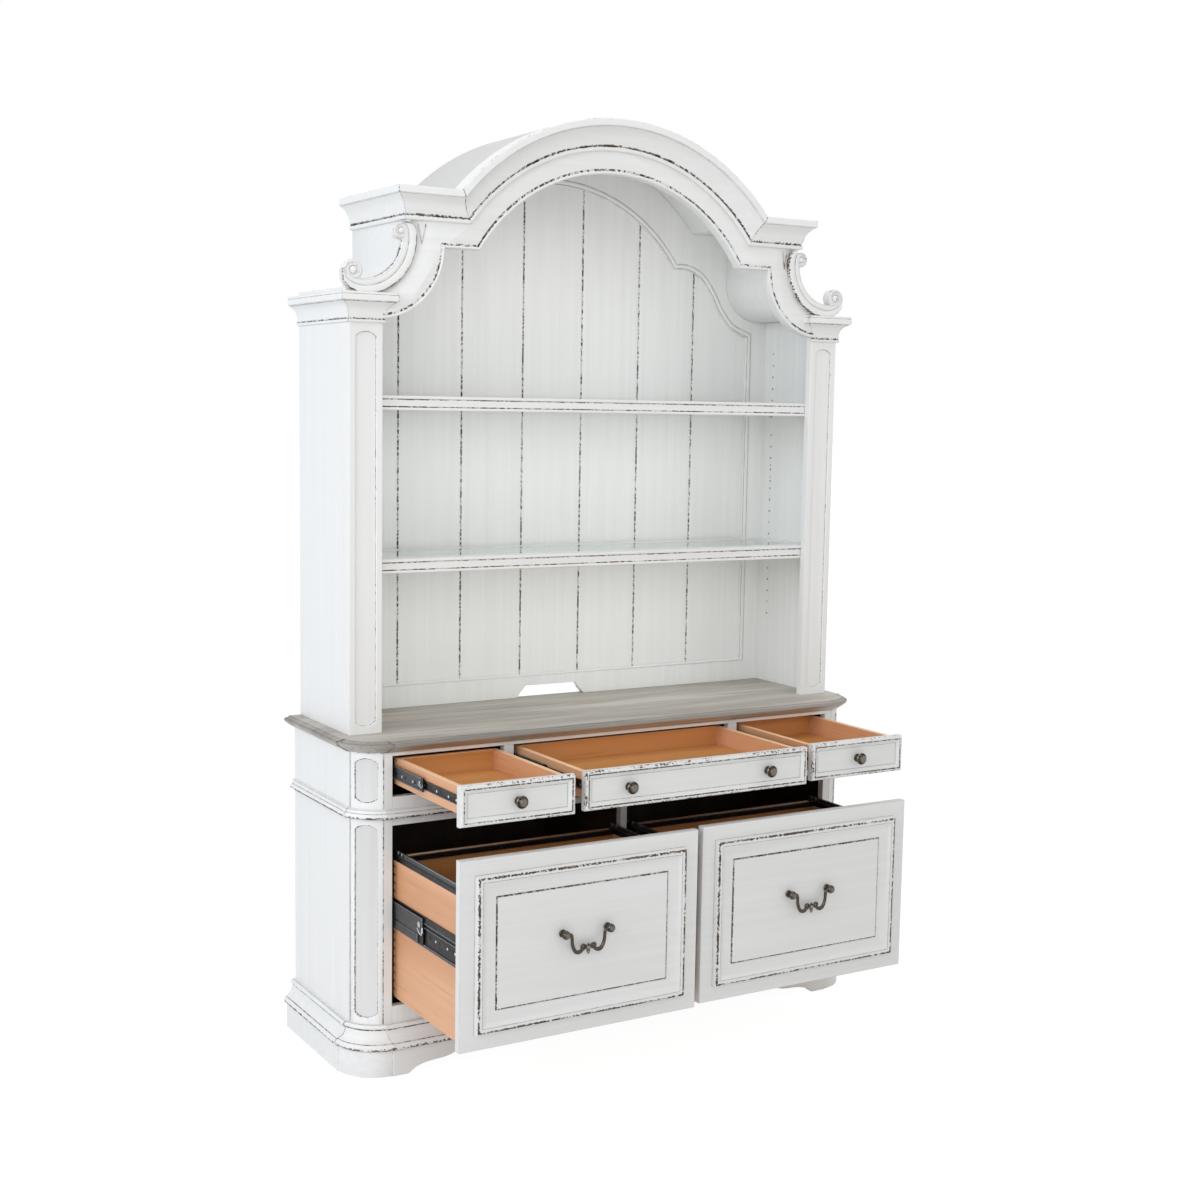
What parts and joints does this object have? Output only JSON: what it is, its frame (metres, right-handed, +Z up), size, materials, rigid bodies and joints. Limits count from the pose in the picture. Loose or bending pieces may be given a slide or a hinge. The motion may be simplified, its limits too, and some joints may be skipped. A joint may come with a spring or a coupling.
{
  "type": "credenza with hutch",
  "caption": "Office credenza with pencil and file drawers on slides, under an open hutch with glass shelves, plank back and an arched crown with scrolls.",
  "frame": {"origin": "on the floor at the middle of the back", "axes": "+X to the right seen from the front, +Y towards the wall behind, +Z up; the drawers open towards -Y"},
  "size_m": [1.476, 0.7795, 2.236],
  "materials": {
    "white_paint": "antique white paint on wood with rubbed dark edges",
    "weathered_top": "weathered grey-brown stained wood, low sheen",
    "drawer_wood": "clear finished tan wood",
    "case_wood": "unfinished wood and panel inside the case",
    "black_steel": "black coated steel",
    "antique_bronze": "dark antique bronze",
    "clear_glass": "clear float glass with a green edge",
    "pin_steel": "plain steel"
  },
  "bodies": {
    "cabinet": {"arched_fascia": "white_paint", "back_planks": "white_paint", "base_moulding": "white_paint", "c_scrolls": "white_paint", "capitals": "white_paint", "case_back_panel": "case_wood", "case_bottom_panel": "case_wood", "centre_partition": "case_wood", "credenza_top": "weathered_top", "crown_moulding": "white_paint", "drawer_web_and_dividers": "case_wood", "face_frame": "white_paint", "fixed_slides": "black_steel", "hutch_back_frame": "white_paint", "hutch_left_side": "white_paint", "hutch_right_side": "white_paint", "left_corner_post": "white_paint", "left_pilaster": "white_paint", "left_side_panel": "white_paint", "plinth_apron": "white_paint", "plinth_skirt": "white_paint", "right_corner_post": "white_paint", "right_pilaster": "white_paint", "right_side_panel": "white_paint", "shelf_frames": "white_paint", "shelf_glasses": "clear_glass", "shelf_pins": "pin_steel", "shoulder_panels": "white_paint", "slide_cleats": "case_wood", "vault_roof": "white_paint", "waist_moulding": "white_paint"},
    "left_pencil_drawer": {"left_pencil_box": "drawer_wood", "left_pencil_drawer_slides": "black_steel", "left_pencil_front": "white_paint", "left_pencil_knobs": "antique_bronze"},
    "left_pencil_slide_middles": {"left_pencil_middle_slides": "black_steel"},
    "middle_pencil_drawer": {"middle_pencil_box": "drawer_wood", "middle_pencil_drawer_slides": "black_steel", "middle_pencil_front": "white_paint", "middle_pencil_knobs": "antique_bronze"},
    "middle_pencil_slide_middles": {"middle_pencil_middle_slides": "black_steel"},
    "right_pencil_drawer": {"right_pencil_box": "drawer_wood", "right_pencil_drawer_slides": "black_steel", "right_pencil_front": "white_paint", "right_pencil_knobs": "antique_bronze"},
    "right_pencil_slide_middles": {"right_pencil_middle_slides": "black_steel"},
    "left_file_drawer": {"left_file_box": "drawer_wood", "left_file_drawer_slides": "black_steel", "left_file_front": "white_paint", "left_file_hanging_rails": "black_steel", "left_file_pull_posts": "antique_bronze"},
    "left_file_slide_middles": {"left_file_middle_slides": "black_steel"},
    "right_file_drawer": {"right_file_box": "drawer_wood", "right_file_drawer_slides": "black_steel", "right_file_front": "white_paint", "right_file_hanging_rails": "black_steel", "right_file_pull_posts": "antique_bronze"},
    "right_file_slide_middles": {"right_file_middle_slides": "black_steel"},
    "left_file_bail": {"left_file_bail": "antique_bronze"},
    "right_file_bail": {"right_file_bail": "antique_bronze"}
  },
  "joints": [
    {"name": "left_pencil_slide", "type": "slide", "parent": "cabinet", "child": "left_pencil_drawer", "axis": [0, -1, 0], "range_m": [-0.346, 0.004]},
    {"name": "left_pencil_slide_middle", "type": "slide", "parent": "cabinet", "child": "left_pencil_slide_middles", "axis": [0, -1, 0], "range_m": [-0.1735, 0.0025]},
    {"name": "middle_pencil_slide", "type": "slide", "parent": "cabinet", "child": "middle_pencil_drawer", "axis": [0, -1, 0], "range_m": [-0.335, 0.015]},
    {"name": "middle_pencil_slide_middle", "type": "slide", "parent": "cabinet", "child": "middle_pencil_slide_middles", "axis": [0, -1, 0], "range_m": [-0.168, 0.008]},
    {"name": "right_pencil_slide", "type": "slide", "parent": "cabinet", "child": "right_pencil_drawer", "axis": [0, -1, 0], "range_m": [-0.315, 0.035]},
    {"name": "right_pencil_slide_middle", "type": "slide", "parent": "cabinet", "child": "right_pencil_slide_middles", "axis": [0, -1, 0], "range_m": [-0.158, 0.018]},
    {"name": "left_file_slide", "type": "slide", "parent": "cabinet", "child": "left_file_drawer", "axis": [0, -1, 0], "range_m": [-0.345, 0.005]},
    {"name": "left_file_slide_middle", "type": "slide", "parent": "cabinet", "child": "left_file_slide_middles", "axis": [0, -1, 0], "range_m": [-0.173, 0.003]},
    {"name": "right_file_slide", "type": "slide", "parent": "cabinet", "child": "right_file_drawer", "axis": [0, -1, 0], "range_m": [-0.33, 0.02]},
    {"name": "right_file_slide_middle", "type": "slide", "parent": "cabinet", "child": "right_file_slide_middles", "axis": [0, -1, 0], "range_m": [-0.1655, 0.0105]},
    {"name": "left_file_bail_swing", "type": "hinge", "parent": "left_file_drawer", "child": "left_file_bail", "pos_m": [-0.3165, -0.7695, 0.396], "axis": [-1, 0, 0], "range_deg": [-8, 95]},
    {"name": "right_file_bail_swing", "type": "hinge", "parent": "right_file_drawer", "child": "right_file_bail", "pos_m": [0.3165, -0.7545, 0.396], "axis": [-1, 0, 0], "range_deg": [-8, 95]}
  ],
  "couplings": [
    {"joint": "left_pencil_slide_middle", "follows": "left_pencil_slide", "ratio": 0.5},
    {"joint": "middle_pencil_slide_middle", "follows": "middle_pencil_slide", "ratio": 0.5},
    {"joint": "right_pencil_slide_middle", "follows": "right_pencil_slide", "ratio": 0.5},
    {"joint": "left_file_slide_middle", "follows": "left_file_slide", "ratio": 0.5},
    {"joint": "right_file_slide_middle", "follows": "right_file_slide", "ratio": 0.5}
  ]
}
